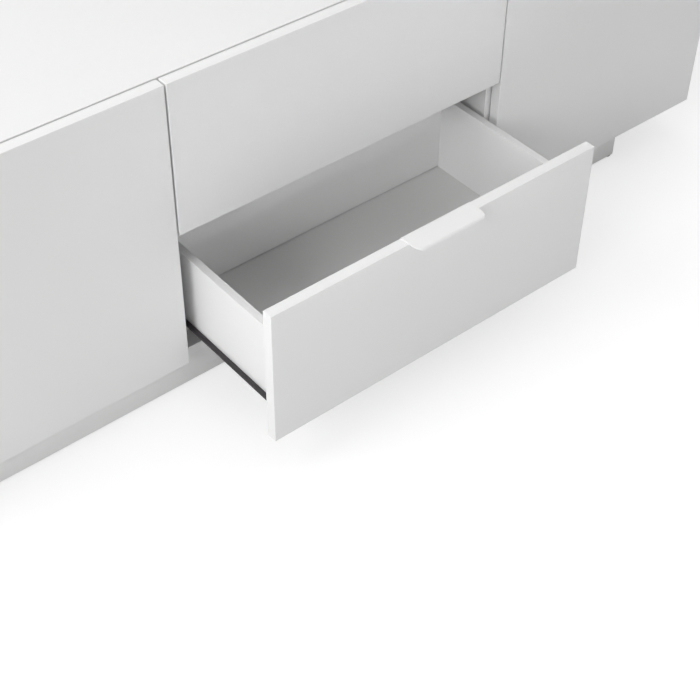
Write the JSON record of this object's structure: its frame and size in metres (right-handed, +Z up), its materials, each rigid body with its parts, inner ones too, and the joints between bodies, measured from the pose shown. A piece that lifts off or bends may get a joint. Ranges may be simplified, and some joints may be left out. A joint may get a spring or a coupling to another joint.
{
  "type": "tv stand with doors and drawers",
  "caption": "Long low white TV stand on a recessed plinth, hinged door at each end, one drawer above another in the middle, edge-pull handle.",
  "frame": {"origin": "on the floor, under the middle glide of the plinth, midway along the cabinet's width and its closed depth", "axes": "+X to the right seen from the front, along the cabinet's length; the fronts look towards -Y; +Z up"},
  "size_m": [1.6, 0.626, 0.545],
  "materials": {
    "front_lacquer": "matt white lacquered board",
    "top_board": "matt white lacquered board",
    "carcass_board": "white melamine-faced particle board",
    "back_board": "thin white-faced fibreboard",
    "drawer_board": "white melamine-faced board",
    "drawer_base": "thin white-faced fibreboard",
    "handle_coat": "white powder-coated steel plate",
    "runner_steel": "charcoal epoxy-coated steel",
    "roller_nylon": "natural nylon",
    "beech": "plain beech dowel",
    "latch_plastic": "white moulded plastic",
    "glide_plastic": "dark felt-grey plastic",
    "cam_zinc": "zinc die casting",
    "hinge_steel": "nickel-plated steel",
    "screw_steel": "zinc-plated steel"
  },
  "bodies": {
    "carcass": {"back_panel_screws": "screw_steel", "bottom_panel": "carcass_board", "cam_bolts": "screw_steel", "cam_discs": "cam_zinc", "carcass_dowels": "beech", "centre_back_panel": "back_board", "channel_screws": "screw_steel", "hinge_arms": "hinge_steel", "hinge_plates": "hinge_steel", "hinge_screws": "screw_steel", "latch_housings": "latch_plastic", "left_back_panel": "back_board", "left_divider": "carcass_board", "left_shelf": "carcass_board", "left_side_panel": "carcass_board", "plinth_back_rail": "carcass_board", "plinth_brackets": "hinge_steel", "plinth_centre_rail": "carcass_board", "plinth_front_rail": "carcass_board", "plinth_glides": "glide_plastic", "plinth_left_end": "carcass_board", "plinth_right_end": "carcass_board", "plinth_screws": "screw_steel", "right_back_panel": "back_board", "right_divider": "carcass_board", "right_shelf": "carcass_board", "right_side_panel": "carcass_board", "runner_channels": "runner_steel", "shelf_pins": "hinge_steel", "top_panel": "top_board"},
    "left_door": {"left_door_panel": "front_lacquer", "left_hinge_cups": "hinge_steel"},
    "right_door": {"right_door_panel": "front_lacquer", "right_hinge_cups": "hinge_steel"},
    "left_links": {"left_hinge_links": "hinge_steel"},
    "right_links": {"right_hinge_links": "hinge_steel"},
    "lower_drawer": {"lower_drawer_front": "front_lacquer", "lower_drawer_left_side": "drawer_board", "lower_drawer_right_side": "drawer_board", "lower_drawer_back": "drawer_board", "lower_drawer_bottom": "drawer_base", "lower_drawer_dowels": "beech", "lower_drawer_runner_members": "runner_steel", "lower_drawer_screws": "screw_steel", "lower_drawer_handle": "handle_coat"},
    "upper_drawer": {"upper_drawer_front": "front_lacquer", "upper_drawer_left_side": "drawer_board", "upper_drawer_right_side": "drawer_board", "upper_drawer_back": "drawer_board", "upper_drawer_bottom": "drawer_base", "upper_drawer_dowels": "beech", "upper_drawer_runner_members": "runner_steel", "upper_drawer_screws": "screw_steel"},
    "lower_cabinet_rollers": {"lower_drawer_cabinet_rollers": "roller_nylon"},
    "lower_rear_rollers": {"lower_drawer_drawer_rollers": "roller_nylon"},
    "upper_cabinet_rollers": {"upper_drawer_cabinet_rollers": "roller_nylon"},
    "upper_rear_rollers": {"upper_drawer_drawer_rollers": "roller_nylon"},
    "left_plunger": {"left_latch_plunger": "latch_plastic"},
    "right_plunger": {"right_latch_plunger": "latch_plastic"},
    "drawer_plunger": {"upper_drawer_latch_plunger": "latch_plastic"}
  },
  "joints": [
    {"name": "left_door_hinge", "type": "hinge", "parent": "carcass", "child": "left_door", "pos_m": [-0.793, -0.19, 0.3035], "axis": [0, 0, -1], "range_deg": [0, 100]},
    {"name": "right_door_hinge", "type": "hinge", "parent": "carcass", "child": "right_door", "pos_m": [0.793, -0.19, 0.3035], "axis": [0, 0, 1], "range_deg": [0, 100]},
    {"name": "left_link_pivot", "type": "hinge", "parent": "carcass", "child": "left_links", "pos_m": [-0.793, -0.19, 0.3035], "axis": [0, 0, -1], "range_deg": [0, 50]},
    {"name": "right_link_pivot", "type": "hinge", "parent": "carcass", "child": "right_links", "pos_m": [0.793, -0.19, 0.3035], "axis": [0, 0, 1], "range_deg": [0, 50]},
    {"name": "lower_drawer_slide", "type": "slide", "parent": "carcass", "child": "lower_drawer", "axis": [0, -1, 0], "range_m": [-0.205, 0.02]},
    {"name": "upper_drawer_slide", "type": "slide", "parent": "carcass", "child": "upper_drawer", "axis": [0, -1, 0], "range_m": [0, 0.225]},
    {"name": "lower_cabinet_roller_spin", "type": "hinge", "parent": "carcass", "child": "lower_cabinet_rollers", "pos_m": [0, -0.168, 0.1052], "axis": [1, 0, 0], "range_deg": [-1569, 155]},
    {"name": "lower_rear_roller_spin", "type": "hinge", "parent": "lower_drawer", "child": "lower_rear_rollers", "pos_m": [0, -0.106, 0.1042], "axis": [1, 0, 0], "range_deg": [-2261, 223]},
    {"name": "upper_cabinet_roller_spin", "type": "hinge", "parent": "carcass", "child": "upper_cabinet_rollers", "pos_m": [0, -0.168, 0.3452], "axis": [1, 0, 0], "range_deg": [-2, 1721]},
    {"name": "upper_rear_roller_spin", "type": "hinge", "parent": "upper_drawer", "child": "upper_rear_rollers", "pos_m": [0, 0.099, 0.3442], "axis": [1, 0, 0], "range_deg": [-2, 2482]},
    {"name": "left_latch_press", "type": "slide", "parent": "carcass", "child": "left_plunger", "axis": [0, 1, 0], "range_m": [0, 0.0025], "stiffness_N_per_m": 600},
    {"name": "right_latch_press", "type": "slide", "parent": "carcass", "child": "right_plunger", "axis": [0, 1, 0], "range_m": [0, 0.0025], "stiffness_N_per_m": 600},
    {"name": "drawer_latch_press", "type": "slide", "parent": "carcass", "child": "drawer_plunger", "axis": [0, 1, 0], "range_m": [0, 0.0025], "stiffness_N_per_m": 600}
  ],
  "couplings": [
    {"joint": "left_link_pivot", "follows": "left_door_hinge", "ratio": 0.5},
    {"joint": "right_link_pivot", "follows": "right_door_hinge", "ratio": 0.5},
    {"joint": "lower_cabinet_roller_spin", "follows": "lower_drawer_slide", "rad_per_m": 133.33},
    {"joint": "lower_rear_roller_spin", "follows": "lower_drawer_slide", "rad_per_m": 192.31},
    {"joint": "upper_cabinet_roller_spin", "follows": "upper_drawer_slide", "rad_per_m": 133.33},
    {"joint": "upper_rear_roller_spin", "follows": "upper_drawer_slide", "rad_per_m": 192.31}
  ]
}
